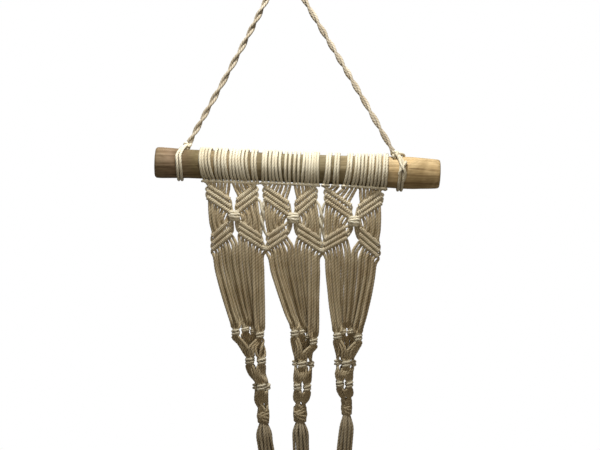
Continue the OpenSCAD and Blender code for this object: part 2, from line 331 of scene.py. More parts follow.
A_PATH = [(-0.62, 0.62, 0.0), (-1.0, 0.40, 0.3), (-0.62, 0.30, 1.0), (0, 0.25, 1.12), (0.62, 0.19, 1.0), (1.02, 0.06, 0.2),
          (0.55, -0.06, -1.0), (-0.45, -0.18, -1.0), (-0.98, -0.33, -0.1), (-0.62, -0.62, 0.0)]
B_PATH = [(0.62, 0.62, 0.0), (0.95, 0.38, -0.2), (0.45, 0.24, -1.0), (-0.5, 0.12, -1.0), (-1.02, -0.03, -0.1), (-0.62, -0.18, 0.95),
          (0, -0.25, 1.1), (0.62, -0.31, 1.0), (0.98, -0.42, 0.2), (0.62, -0.62, 0.0)]


def square(st, c, u, n, slot, lab, w=4.4, h=9.0, f=3.4, r=1.85, rf=2.2):
    """One of the four strands of a square knot, top to bottom. Strands 0 and 3 work, 1 and 2 fill."""
    v = v3(0, 0, 1)
    if slot in (0, 3):
        for a, b, d in (A_PATH if slot == 0 else B_PATH):
            st.to(c + u * w * a + v * h * b + n * f * d, r, lab, 1.3)
    else:
        q = -1.8 if slot == 1 else 1.8
        for b in (0.6, 0.2, -0.2, -0.6):
            st.to(c + u * q + v * h * b, rf, lab, 2.0)
    return st


# ---------------------------------------------------------------- the panels
B = {}


def bundle(name):
    if name not in B:
        B[name] = Bundle()
    return name


def on_branch(x, psi, rho):
    """Point beside the branch. psi is 0 under it and 90 in front of it."""
    a = math.radians(psi)
    return v3(x, 0, axis_z(x)) + rho * (math.cos(a) * v3(-math.sin(TILT), 0, -math.cos(TILT)) + math.sin(a) * v3(0, -1, 0))


def larks_head(st, p, j, lab):
    """One leg of a lark's head: from the middle of its bar, under, up the back, over and down the front."""
    xl, xr = LOOPS[p][2 * (j // 2)], LOOPS[p][2 * (j // 2) + 1]
    lt = TOP_LEAN[p]
    g = -1 if j % 2 == 0 else 1
    # the knots sit under the branch, and the loops wander over it
    xc = BARS[p][j // 2]
    f = 2.8
    e = 4.15
    R = branch_r(xc)
    psi = BAR_PSI[p]
    rr = 2.32
    st.to(on_branch(xc, psi, R + 6.5), 2.0, lab, 1.5)
    st.to(on_branch(xc + g * e * 0.6, psi, R + 6.55), 2.05, lab, 1.5)
    st.to(on_branch(xc + g * e, psi - 1.5, R + 6.1), 2.0, lab, 1.5)
    st.to(on_branch(xc + g * (e + 0.75), psi - 9, R + 5.0), 1.9, lab, 1.5)
    st.to(on_branch(xc + g * (e + 0.55), psi - 19, R + 3.7), 1.9, lab, 1.5)
    st.to(on_branch(xc + g * e * 0.95, -6, R + 2.7), 1.95, lab, 2.0)
    w = jit(0.3)
    xf = xl if g < 0 else xr
    for a in (-40, -75, -110, -145, -180, -205, -228, -250, -272, -292, -308):
        if a >= -180:
            x = xc + g * 2.2 + (xf + lt - xc - g * 2.2) * max(0, -a - 40) / 140
        else:
            if a > -250:
                x = xf + lt * ((a + 250) / 70) ** 1.5
            else:
                x = xf + (xc + g * f * 0.93 - xf) * ((-250 - a) / 86) ** 1.6
            x += w * math.sin(math.radians(a * 2))
        st.to(on_branch(x, a, R + rr), rr, lab, 2.2)
    st.to(on_branch(xf + (xc + g * f * 0.93 - xf) * 0.86, -324, R + 2.08), 2.05, lab, 2.0)
    st.to(on_branch(xc + g * f * 0.88, -360 + psi, R + 1.95), 1.95, lab, 1.8)
    x = xc + g * f * 0.95
    st.to(v3(x, -11.4, axis_z(x) - (R + 2) * math.cos(math.radians(14)) - 2.0), 2.35, lab, 1.8)
    return x


def leg_pt(p, j, t, x0, z0):
    k, i = j // 4, j % 4
    q = ROW1[p][k]
    x1 = q[0] + (i - 1.5) * 3.9
    y1 = q[1] + SHEET + (0.9 if i % 2 else -0.9)
    z1 = q[2] + 13
    tt = t ** 1.3
    y = SHEET + (y1 - SHEET) * t ** 1.2
    return v3(x0 + (x1 - x0) * tt, y, z0 + (z1 - z0) * t)


def ring_dirs(row, k):
    q = [v3(a[0], a[1], 0) for a in row]
    u = unit(q[(k + 1) % 4] - q[(k + 3) % 4])
    c = sum(q) / 4
    n = v3(-u[1], u[0], 0)
    if np.dot(n, q[k] - c) < 0:
        n = -n
    return u, n


def disc(i, radius):
    """Place of strand i among sixteen in a bundle: one in the middle, five round it and ten outside."""
    if i == 0:
        return v3(0, 0, 0)
    if i < 6:
        a = 2 * math.pi * (i - 1) / 5
        return v3(math.cos(a), math.sin(a), 0) * radius * 0.48
    a = 2 * math.pi * (i - 6) / 10 + 0.3
    return v3(math.cos(a), math.sin(a), 0) * radius


# How wide the net is half way between its rows, and between its last row and the bundle knot
NET_W = [[(-66.5, -30.0), (-52.3, -28.3), (-43.2, -24.8)], [(12.8, 43.0), (14.8, 41.0), (15.0, 36.8)],
         [(76.3, 112.0), (77.4, 103.2), (83.4, 102.8)]]


NET_OFF = {5.2: (-6.0, -2.0, 2.0, 6.0), 6.4: (-7.2, -2.4, 2.4, 7.2)}


def knot_w(p, num):
    """Half width of the square knots of a row of the net."""
    return 6.4 if p == 0 and num == 1 else 5.2


def net_plan(p):
    """Where each strand is at the half-way heights, so that they lie side by side at even distances."""
    where = []
    for j in range(16):
        k = j // 4
        order = sorted(range(4), key=lambda i: i * (1 if ring_dirs(ROW1[p], k)[0][0] > 0 else -1))
        slot = order.index(j % 4)
        rows = (ROW1[p], ROW2[p], ROW3[p])
        got = []
        for num in range(3):
            row = rows[num]
            u, n = ring_dirs(row, k)
            a = v3(row[k][0], row[k][1], row[k][2]) + u * NET_OFF[knot_w(p, num)][slot]
            if num == 2:
                got.append((a[0], a[1] * 0.6, a[2]))
                break
            plus = slot >= 2
            k2 = (k if plus else (k + 3) % 4) if num == 0 else ((k + 1) % 4 if plus else k)
            slot = slot - 2 if plus else slot + 2
            nxt = rows[num + 1]
            u2, n2 = ring_dirs(nxt, k2)
            b = v3(nxt[k2][0], nxt[k2][1], nxt[k2][2]) + u2 * NET_OFF[knot_w(p, num + 1)][slot]
            m = (a + b) / 2 + unit(n + n2 * 0.999) * 2.6
            got.append((m[0], m[1], m[2]))
            k = k2
        where.append(got)
    out = {}
    for num in range(3):
        order = sorted(range(16), key=lambda j: where[j][num][1])
        w0, w1 = NET_W[p][num]
        for half, layer in enumerate((order[:8], order[8:])):
            for i, j in enumerate(sorted(layer, key=lambda j: where[j][num][0])):
                even = w0 + (w1 - w0) * (i + (0.35 if half == 0 else 0.65)) / 8
                out[(j, num)] = (even, where[j][num][1], where[j][num][2])
    return out


PLAN = []


def leg_x(p, j):
    """Where strand j crosses the line that the long cords swing about."""
    x = LEG_X[p][0] + (LEG_X[p][1] - LEG_X[p][0]) * (j + 0.5) / 16
    return x + (1.4 if j == 0 else 0.5 if j == 1 else -1.4 if j == 15 else -0.5 if j == 14 else 0)


def depth_of(j):
    return 1.4 if j % 2 else -1.2


def cradle(st, p, j):
    """From the swing line down the leg and through the net to the gathering knot."""
    name = PANELS[p]
    zt = HINGE[p] - 2
    x0 = leg_x(p, j)
    for t in (0.0, 0.2, 0.42, 0.64, 0.84, 1.0):
        q = leg_pt(p, j, t, x0, zt)
        st.to(q + v3(jit(0.35) * min(1, t * 4), depth_of(j) + jit(0.4) * min(1, t * 4), 0), 2.95 - 0.25 * t, name + "_leg", 2.2)
    k = j // 4
    row, c = ROW1[p], None
    order = sorted(range(4), key=lambda i: i * (1 if ring_dirs(row, k)[0][0] > 0 else -1))
    slot = order.index(j % 4)
    for num, row in enumerate((ROW1[p], ROW2[p], ROW3[p])):
        u, n = ring_dirs(row, k)
        c = v3(row[k][0], row[k][1] + SHEET, row[k][2])
        off = NET_OFF[knot_w(p, num)][slot]
        lab = name + ("_leg" if num == 0 else "_netcord")
        st.to(c + u * off + v3(0, 0, 7.2), 2.2, lab, 1.9)
        n_before = len(st.p)
        square(st, c, u, n, slot, name + "_netknot", w=knot_w(p, num))
        st.l[n_before - 1] = lab
        st.s[n_before - 1] = 1.6
        lo = c + u * NET_OFF[knot_w(p, num)][slot] * 0.95 - v3(0, 0, 7.8)
        st.to(lo, 2.2, name + "_netcord", 1.8)
        if num < 2:
            plus = slot >= 2
            if num == 0:
                k2 = k if plus else (k + 3) % 4
            else:
                k2 = (k + 1) % 4 if plus else k
            slot = slot - 2 if plus else slot + 2
            nxt = (ROW2, ROW3)[num][p]
            u2, n2 = ring_dirs(nxt, k2)
            c2 = v3(nxt[k2][0], nxt[k2][1] + SHEET, nxt[k2][2])
            hi = c2 + u2 * NET_OFF[knot_w(p, num + 1)][slot] + v3(0, 0, 7.2)
            x_, y_, z_ = PLAN[p][(j, num)]
            st.to(v3(x_ + jit(0.3), SHEET + y_ + jit(0.4), (lo[2] + hi[2]) / 2), 2.6, name + "_netcord", 2.2)
            k = k2
    g = GATHER[p]
    gc = v3(g[0], SHEET, 0)
    q = v3(c[0], c[1], 0) - gc
    a = math.atan2(q[1], q[0]) + (slot - 1.5) * 0.38
    rad = 5.2 if slot in (0, 3) else 3.4
    d = v3(math.cos(a), math.sin(a), 0)
    hgt = c[2] - 7.6 - (g[1] + g[3] / 2)
    u, n = ring_dirs(ROW3[p], k)
    x_, y_, z_ = PLAN[p][(j, 2)]
    st.to(v3(x_, SHEET + y_, g[1] + g[3] / 2 + hgt * 0.5), 2.5, name + "_netcord", 2.2)
    st.to(gc + d * (rad + 1.8) + v3(0, 0, g[1] + g[3] / 2 + 1.0), 2.35, name + "_netcord", 2.2)
    st.to(gc + d * (rad + 0.6) + v3(0, 0, g[1] + g[3] / 2 - 3.5), 2.0, name + "_gather", 2.2)
    st.to(gc + d * rad * 0.95 + v3(0, 0, g[1]), 1.8, name + "_gather", 3)
    st.to(gc + d * rad * 0.9 + v3(0, 0, g[1] - g[3] / 2 + 1), 1.8, name + "_gather", 3)


for p, name in enumerate(PANELS):
    PLAN.append(net_plan(p))
    for part in ("mount", "upper", "uleaf", "button", "side", "lleaf", "inner", "leg", "netknot", "netcord", "gather"):
        bundle(name + "_" + part)
    bx_, bz_ = BUTTON[p]
    zb = HINGE[p] + 4
    for j in range(16):
        left = j < 8
        h = j if left else 15 - j
        arm = 0 if left else 1
        sgn = 1 if left else -1
        st = Strand()
        x = larks_head(st, p, j, name + "_mount")
        zs = st.p[-1][2]
        up, lo = UP[p][arm], LOW[p][arm]
        x_h = leg_x(p, j)
        if h > 0:
            m = h - 1
            r1 = up[0]
            ex = r1[0] + (r1[2] - r1[0]) * (m + 0.3) / 7
            ez = r1[1] + (r1[3] - r1[1]) * (m + 0.3) / 7 + 3
            gap = zs - ez
            if gap > 9:
                st.to(v3(x + (ex - x) * 0.45 + jit(0.5), SHEET + 0.8 * depth_of(j), zs - gap * 0.5), 2.7, name + "_upper", 2.0)
            st.to(v3(ex + (x - ex) * 0.08, SHEET + 0.6 * depth_of(j), ez + 1.2), 2.5, name + "_upper", 1.8)
            n0 = len(st.p)
            hitch(st, r1, m, name + "_uleaf")
            st.l[n0 - 1] = name + "_upper"
            hitch(st, up[1], m, name + "_uleaf")
            hitch(st, up[2], m, name + "_uleaf")
            # down the side of the panel to the lower leaf
            a, l1 = st.p[-1], lo[0]
            e = v3(l1[0] + (l1[2] - l1[0]) * (m + 0.3) / 7, SHEET, l1[1] + (l1[3] - l1[1]) * (m + 0.3) / 7 + 3)
            gap = a[2] - e[2]
            if gap > 9:
                st.to(a + v3(0.1 * (e[0] - a[0]), 0.7 * depth_of(j) + 0.6, -2.4), 2.5, name + "_side", 1.8)
            if gap > 14:
                bow = (0.3 + 0.42 * h) * sgn * min(1, gap / 30)
                st.to(v3(a[0] + (e[0] - a[0]) * 0.3 - bow + jit(0.5), SHEET + depth_of(j), a[2] - gap * 0.33), 2.8, name + "_side", 2.0)
                st.to(v3(a[0] + (e[0] - a[0]) * 0.68 - bow + jit(0.5), SHEET + depth_of(j), a[2] - gap * 0.68), 2.8, name + "_side", 2.0)
            if gap > 9:
                st.to(e + v3(0, 0.6 * depth_of(j), 1.0), 2.5, name + "_side", 1.8)
            n0 = len(st.p)
            hitch(st, l1, m, name + "_lleaf")
            st.l[n0 - 1] = name + "_side"
            hitch(st, lo[1], m, name + "_lleaf")
            hitch(st, lo[2], m, name + "_lleaf")
            a = st.p[-1]
            if a[2] - zb > 5:
                st.to(a + v3(0.1 * (x_h - a[0]), 0.5 * depth_of(j) + 0.6, -2.2), 2.5, name + "_inner", 1.8)
                st.to(v3(a[0] + (x_h - a[0]) * (0.9 if h > 5 else 0.55), SHEET + depth_of(j) * 0.6, a[2] - (a[2] - zb) * 0.5), 2.75, name + "_inner", 2.0)
                st.to(v3(x_h, SHEET + depth_of(j), zb), 2.95, name + "_inner", 2.0)
            cradle(st, p, j)
        else:
            # the outermost cord holds the first row, then goes in behind the centre knot
            r1 = up[0]
            o, i = v3(r1[0], SHEET, r1[1]), v3(r1[2], SHEET, r1[3])
            d = unit(i - o)
            st.to(o - d * 2.2 + v3(0, -0.8, 3.2), 2.5, name + "_upper", 1.6)
            st.to(o - d * 0.6 + v3(0, -0.6, 1.2), 2.3, name + "_uleaf", 1.6)
            st.to(o + d * 3, 1.15, name + "_uleaf", 3)
            st.to(i - d * 3, 1.15, name + "_uleaf", 6)
            st.to(i + d * 1.5, 1.8, name + "_uleaf", 1.8)
            st.to(v3(bx_ - sgn * 4.6, SHEET + 1.6, i[2] * 0.6 + bz_ * 0.4 + 1), 2.2, name + "_uleaf", 1.8)
            st.to(v3(bx_ - sgn * 2.5, SHEET + 2.5, bz_ + 2), 2.0, name + "_button", 1.8)
            st.emit(B)
            # a holding cord leaves the centre knot for the last row below, and hangs on as the leg's outer cord
            st = Strand()
            l3 = lo[2]
            o, i = v3(l3[0], SHEET, l3[1]), v3(l3[2], SHEET, l3[3])
            d = unit(o - i)
            st.to(v3(bx_ - sgn * 3.5, SHEET + 3.0, bz_ - 3), 2.0, name + "_button", 1.8)
            st.to(v3(bx_ - sgn * 3.0, SHEET + 2.8, bz_ - 11), 2.6, name + "_lleaf", 1.8)
            st.to(i * 0.85 + v3(bx_, SHEET + 1.6, i[2] + 6) * 0.15 + v3(0, 0, 2.5), 2.5, name + "_lleaf", 1.8)
            st.to(i + d * 3, 1.15, name + "_lleaf", 3)
            st.to(o - d * 3, 1.15, name + "_lleaf", 6)
            st.to(o + d * 1.2, 1.7, name + "_lleaf", 1.6)
            st.to(o + d * 0.8 - v3(0, 0, 3.0), 2.4, name + "_lleaf", 1.6)
            if o[2] - 4 - zb > 4:
                st.to(v3(x_h, SHEET + depth_of(j), zb), 2.9, name + "_inner", 2.0)
            cradle(st, p, j)
        st.emit(B)
    # holding cords of the other rows: a turn at the outer edge, and the inner end behind the centre knot
    for arm in (0, 1):
        sgn = 1 if arm == 0 else -1
        for k in (1, 2):
            prev, row = UP[p][arm][k - 1], UP[p][arm][k]
            o, i = v3(row[0], SHEET, row[1]), v3(row[2], SHEET, row[3])
            po = v3(prev[0], SHEET, prev[1])
            d = unit(i - o)
            st = Strand()
            st.to(po + d * 2.0 + v3(0, 1.5, -1.5), 1.5, name + "_uleaf", 1.5)
            st.to(po - d * 0.2 + v3(0, 0.6, -2.6), 1.9, name + "_uleaf", 1.5)
            st.to(o - d * 1.5 + v3(0, 0.2, 1.5), 2.0, name + "_uleaf", 1.5)
            st.to(o - d * 0.5, 1.8, name + "_uleaf", 1.5)
            st.to(o + d * 3, 1.15, name + "_uleaf", 3)
            st.to(i - d * 3, 1.15, name + "_uleaf", 6)
            st.to(i + d * 1.2, 1.8, name + "_uleaf", 1.8)
            st.to(i * 0.55 + v3(bx_ - sgn * (5.0 - k), SHEET + 1.8 + k, bz_ + 4) * 0.45, 2.2, name + "_uleaf", 1.8)
            st.to(v3(bx_ - sgn * 3, SHEET + 3.5 + k, bz_), 1.9, name + "_button", 1.8)
            st.emit(B)
        for k in (0, 1):
            row, nxt = LOW[p][arm][k], LOW[p][arm][k + 1]
            o, i = v3(row[0], SHEET, row[1]), v3(row[2], SHEET, row[3])
            no = v3(nxt[0], SHEET, nxt[1])
            d = unit(o - i)
            st = Strand()
            st.to(v3(bx_ - sgn * (4.5 - 2 * k), SHEET + 1.5 + k, bz_ - 2), 2.0, name + "_button", 1.8)
            st.to(v3(bx_ - sgn * (7.6 - 2.4 * k), SHEET + 1.4 + k, bz_ - 7 - 2 * k) * 0.7 + i * 0.3, 2.5, name + "_lleaf", 1.8)
            if k == 1:
                st.to(v3(bx_ - sgn * 7.4, SHEET + 1.2, bz_ - 12.5), 2.6, name + "_lleaf", 1.8)
            st.to(i - d * 0.8, 2.2, name + "_lleaf", 1.8)
            st.to(i + d * 3, 1.15, name + "_lleaf", 3)
            st.to(o - d * 3, 1.15, name + "_lleaf", 6)
            st.to(o + d * 1.4, 1.7, name + "_lleaf", 1.5)
            st.to(o + d * 1.6 - v3(0, -0.3, 1.8), 2.0, name + "_lleaf", 1.5)
            st.to((o + no) / 2 + d * 0.9 - v3(0, -0.9, 1.0), 2.0, name + "_lleaf", 1.5)
            st.to(no - d * 1.5 + v3(0, 1.6, 1.8), 1.6, name + "_lleaf", 1.5)
            st.emit(B)
    # centre button: crossings of a doubled cord bulging over a full core
    c = v3(bx_, SHEET - 0.8, bz_)
    u, n, up_ = v3(1, 0, 0), v3(0, -1, 0), v3(0, 0, 1)
    for dz, wid, dep, tilt in ((5.3, 6.0, 5.0, 0.10), (1.7, 7.1, 7.0, 0.14), (-2.1, 7.1, 7.2, -0.16), (-5.7, 6.2, 5.6, -0.10)):
        st = Strand()
        t0 = RNG.uniform(0.6, 1.2)
        for i in range(19):
            t = t0 + i * 2 * math.pi * 1.03 / 18
            x_, y_ = wid * math.sin(t), math.cos(t)
            st.to(c + u * x_ - n * y_ * (dep if y_ < 0 else 3.2) + up_ * (dz - 0.03 * x_ * x_ * np.sign(dz) * 0.6 + tilt * x_ * (1 if y_ < 0 else -1)), 2.6, name + "_button", 1.4)
        st.emit(B, 24.0, 0.95)
    for q in (-1, 1):
        st = Strand()
        for b_, o_ in ((7.2, 3.6), (4.0, 6.6), (0, 7.4), (-4.0, 6.2), (-7.0, 3.4)):
            st.to(c + u * q * o_ + up_ * b_ - n * 0.4, 2.2, name + "_button", 1.4)
        st.emit(B, 24.0, 0.9)
    for q in (-3.4, 0.0, 3.4):
        st = Strand()
        for b_ in (7.4, 2.5, -2.5, -7.4):
            st.to(c + v3(q, -0.6 + 0.03 * b_ * b_, b_), 3.0, name + "_button", 2.0)
        st.emit(B)
    # gathering knot: crossings of a doubled cord, one above another, round the whole bundle
    g = GATHER[p]
    gc = v3(g[0], SHEET, g[1])
    wid, hh = g[2] - 2.8, g[3]
    for q, (dz, k_, tilt) in enumerate(((0.26, 0.95, 0.55), (0.05, 1.0, 0.40), (-0.04, 1.0, -0.45), (-0.28, 0.92, -0.60))):
        st = Strand()
        t0 = RNG.uniform(0.6, 1.2)
        for i in range(21):
            t = t0 + i * 2 * math.pi * 1.03 / 20
            x_, y_ = math.sin(t), math.cos(t)
            st.to(gc + u * wid * k_ * x_ - n * y_ * wid * k_ * 0.92 + up_ * (hh * dz + tilt * wid * x_ * (1 if y_ < 0 else -1) + 0.5 * math.sin(3 * t + p)),
                  2.3 + 0.12 * math.sin(2 * t + q), name + "_gather", 1.5)
        st.emit(B)
    st = Strand()
    for b_, o_ in ((0.42, 0.6), (0.2, 1.02), (-0.05, 1.1), (-0.3, 0.9), (-0.46, 0.5)):
        st.to(gc + u * (-1 if p != 1 else 1) * wid * o_ + up_ * hh * b_ + n * 2.0, 2.1, name + "_gather", 1.5)
    st.emit(B)

# cords that link one panel to the next
for name, A, C, x in (("left", [(-42, 0, -340), (-35.5, 0, -346.5)], [(-34.5, 0, -396), (-36, 1.5, -399.5)], -32.4),
                      ("right", [(46.5, 0, -343.5), (52, 0, -350)], [(53.5, 0, -400), (51.5, 1.5, -403)], 56.2)):
    bundle(name + "_link")
    other = ([(-27.5, 0, -341.5), (-30.5, 0, -347)], [(-26, 0, -396), (-23.5, 1.5, -399)]) if name == "left" else (
        [(63.5, 0, -345.5), (60, 0, -351)], [(61, 0, -402), (63.5, 1.5, -405)])
    zt, zbm = (-352, -387) if name == "left" else (-357, -390)
    for side, (a, c) in ((0, (A, C)), (1, other)):
        st = Strand()
        for q in a:
            st.to(v3(q[0], q[1] + SHEET - 0.8, q[2]), 2.2, name + "_link", 1.8)
        for i in range(7):
            t = i / 6
            ang = math.pi * (1 - side) + t * math.pi * 2.0
            st.to(v3(x + 1.9 * math.cos(ang), SHEET - 1.6 + 1.9 * math.sin(ang), zt + (zbm - zt) * t), 2.35, name + "_link", 1.8)
        for q in c:
            st.to(v3(q[0], q[1] + SHEET - 0.8, q[2]), 2.2, name + "_link", 1.8)
        st.emit(B)
    # where the tips of the lower leaves are tied to each other
    jx, jz = (-29.3, -415.5) if name == "left" else (57.0, -418.5)
    st = Strand()
    for i in range(17):
        a = i / 16 * 4 * math.pi + 0.6
        st.to(v3(jx + 3.3 * math.cos(a), SHEET - 0.2 + 3.1 * math.sin(a), jz + 1.9 - 3.8 * i / 16), 1.85, name + "_link", 1.3)
    st.emit(B)

# ---------------------------------------------------------------- ties of the hanging rope
for name, tie, turns in (("left", TIE_L, (-160, -154.6)), ("right", TIE_R, (173.7, 179.1))):
    bundle(name + "_tie")
    k = v3(*tie)
    for q, x in enumerate(turns):
        R = branch_r(x) + 2.3
        st = Strand()
        # from the knot down onto the branch, once round it and back up to the knot
        first, turn, last = (138, (116, 92, 62, 28, -12, -55, -100, -135), -155) if name == "left" else (
            134, (114, 96, 76, 50, 20, -20, -60, -100, -140, -172), -194)
        st.to(k + v3(0, 1.6 if q else -1.6, 1.0), 2.2, name + "_tie", 1.7)
        st.to(k * 0.5 + on_branch(x, first, R + 1.0) * 0.5 + v3(0, 0, 1.0), 2.3, name + "_tie", 1.7)
        for a in turn:
            sway = 2.2 * math.cos(math.radians(a - 15)) if name == "left" else -1.2 * math.cos(math.radians(a - 15))
            st.to(on_branch(x + sway - 0.4 * q, a, R), 2.25, name + "_tie", 2.0)
        st.to(k * 0.5 + on_branch(x, last, R + 1.0) * 0.5 + v3(0, 0, 1.0), 2.3, name + "_tie", 1.7)
        st.to(k + v3(0, -1.6 if q else 1.6, -1.0), 2.2, name + "_tie", 1.7)
        st.emit(B)
    if name == "right":
        # the turns cross in front of the branch, where the short end is tucked under them
        st = Strand()
        for x, psi, up in ((172.2, 132, 0.6), (173.4, 118, 2.6), (175.4, 106, 4.2), (178.2, 97, 4.6), (180.6, 86, 3.4),
                           (180.4, 72, 1.6), (178.6, 60, 0.6)):
            st.to(on_branch(x, psi, branch_r(x) + 2.4 + up), 2.25, name + "_tie", 1.7)
        st.emit(B)
        st = Strand()
        for x, psi, up in ((181.6, 124, 0.4), (179.8, 114, 2.4), (176.6, 104, 2.6), (173.6, 94, 2.2), (172.0, 82, 0.8)):
            st.to(on_branch(x, psi, branch_r(x) + 2.4 + up), 2.2, name + "_tie", 1.7)
        st.emit(B)
    # overhand knot, a trefoil drawn tight
    st = Strand()
    for i in range(25):
        t = 2 * math.pi * i / 24
        a = v3(math.sin(t) + 2 * math.sin(2 * t), -math.sin(3 * t) * 1.15, math.cos(t) - 2 * math.cos(2 * t)) * 1.75
        st.to(k + a, 2.15, name + "_tie", 1.5)
    st.emit(B)

# ---------------------------------------------------------------- materials
def nodes_of(mat):
    mat.use_nodes = True
    nt = mat.node_tree
    nt.nodes.clear()
    out = nt.nodes.new("ShaderNodeOutputMaterial")
    b = nt.nodes.new("ShaderNodeBsdfPrincipled")
    nt.links.new(b.outputs[0], out.inputs[0])
    return nt, b


def lin(c):
    return tuple(((x / 255) / 12.92 if x / 255 <= 0.04045 else ((x / 255 + 0.055) / 1.055) ** 2.4) for x in c) + (1,)


def node(nt, kind, **kw):
    n = nt.nodes.new(kind)
    for k, v in kw.items():
        if k.startswith("_"):
            n.inputs[k[1:].replace("_", " ")].default_value = v
        else:
            setattr(n, k, v)
    return n


def mix_rgb(nt, blend, fac, a, b):
    m = nt.nodes.new("ShaderNodeMix")
    m.data_type = "RGBA"
    m.blend_type = blend
    for i, x in ((0, fac), (6, a), (7, b)):
        if hasattr(x, "links"):
            nt.links.new(x, m.inputs[i])
        else:
            m.inputs[i].default_value = x
    return m.outputs[2]


def ramp(nt, fac, stops):
    r = nt.nodes.new("ShaderNodeValToRGB")
    el = r.color_ramp.elements
    while len(el) < len(stops):
        el.new(0.5)
    for e, (pos, col) in zip(el, stops):
        e.position = pos
        e.color = col
    nt.links.new(fac, r.inputs[0])
    return r.outputs[0]


def cotton(name, light, mid, dark, soil):
    mat = bpy.data.materials.new(name)
    nt, b = nodes_of(mat)
    L = nt.links.new
    uv = node(nt, "ShaderNodeUVMap", uv_map="cord")
    obj = node(nt, "ShaderNodeTexCoord")
    groove = node(nt, "ShaderNodeAttribute", attribute_name="groove")
    rnd = node(nt, "ShaderNodeAttribute", attribute_name="rnd")
    # fine fibres that run along each ply
    mp = node(nt, "ShaderNodeMapping")
    mp.inputs["Scale"].default_value = (34, 4, 1)
    mp.inputs["Rotation"].default_value = (0, 0, math.radians(6))
    L(uv.outputs[0], mp.inputs[0])
    fib = node(nt, "ShaderNodeTexNoise", _Scale=1.0, _Detail=3.0, _Roughness=0.6)
    L(mp.outputs[0], fib.inputs["Vector"])
    # blotches of a little more or less bleached cotton, and soiling
    big = node(nt, "ShaderNodeTexNoise", _Scale=38.0, _Detail=3.0, _Roughness=0.55)
    L(obj.outputs["Object"], big.inputs["Vector"])
    small = node(nt, "ShaderNodeTexNoise", _Scale=420.0, _Detail=2.0, _Roughness=0.6)
    L(obj.outputs["Object"], small.inputs["Vector"])
    # painted shade: each cord runs from its light colour on the plies' crowns to its dark colour deep in the grooves,
    # where shade falls
    col = ramp(nt, groove.outputs["Fac"], [(0.0, light), (0.45, mid), (1.0, dark)])
    tone = ramp(nt, rnd.outputs["Fac"], [(0.0, (0.86, 0.85, 0.82, 1)), (0.5, (0.97, 0.96, 0.94, 1)), (1.0, (1.0, 1.0, 1.0, 1))])
    col = mix_rgb(nt, "MULTIPLY", 1.0, col, tone)
    fibc = ramp(nt, fib.outputs["Fac"], [(0.3, (0.83, 0.81, 0.76, 1)), (0.6, (1, 1, 1, 1))])
    col = mix_rgb(nt, "MULTIPLY", 0.75, col, fibc)
    soilf = ramp(nt, big.outputs["Fac"], [(0.40, (0, 0, 0, 1)), (0.72, (1, 1, 1, 1))])
    soilm = nt.nodes.new("ShaderNodeMath")
    soilm.operation = "MULTIPLY"
    soilm.inputs[1].default_value = 0.42
    L(soilf, soilm.inputs[0])
    col = mix_rgb(nt, "MULTIPLY", soilm.outputs[0], col, soil)
    L(col, b.inputs["Base Color"])
    rr = ramp(nt, fib.outputs["Fac"], [(0.2, (0.95, 0.95, 0.95, 1)), (0.8, (0.80, 0.80, 0.80, 1))])
    L(rr, b.inputs["Roughness"])
    b.inputs["Sheen Weight"].default_value = 0.22
    b.inputs["Sheen Roughness"].default_value = 0.45
    b.inputs["Specular IOR Level"].default_value = 0.22
    add = nt.nodes.new("ShaderNodeMath")
    add.operation = "ADD"
    L(fib.outputs["Fac"], add.inputs[0])
    L(small.outputs["Fac"], add.inputs[1])
    bump = node(nt, "ShaderNodeBump", _Strength=0.55, _Distance=0.0006)
    L(add.outputs[0], bump.inputs["Height"])
    L(bump.outputs[0], b.inputs["Normal"])
    return mat


# One cotton in copies of different brightness: cotton_cord is the lit cord, and the darker copies are painted shade for
# cords that lie under the branch or hang lower
COTTON = cotton("cotton_cord", lin((247, 243, 227)), lin((236, 229, 208)), lin((166, 148, 118)), lin((204, 188, 158)))
# painted half shade for the hitched leaves under the branch
COTTON_HALF_SHADED = cotton("cotton_cord_painted_half_shade", lin((232, 224, 202)), lin((212, 200, 174)), lin((112, 92, 64)), lin((190, 170, 138)))
# painted shade for the cords under the branch, down the sides, in the legs, the net and the gathering knots
COTTON_SHADED = cotton("cotton_cord_painted_shade", lin((218, 205, 176)), lin((200, 185, 154)), lin((122, 100, 70)), lin((182, 160, 124)))
COTTON_ROPE = cotton("cotton_rope", lin((216, 208, 192)), lin((198, 187, 168)), lin((122, 106, 84)), lin((170, 152, 124)))
# painted shade for the tassels, which hang lowest
COTTON_TASSEL_SHADED = cotton("cotton_tassel_painted_shade", lin((206, 195, 171)), lin((190, 177, 151)), lin((124, 107, 81)), lin((176, 158, 126)))


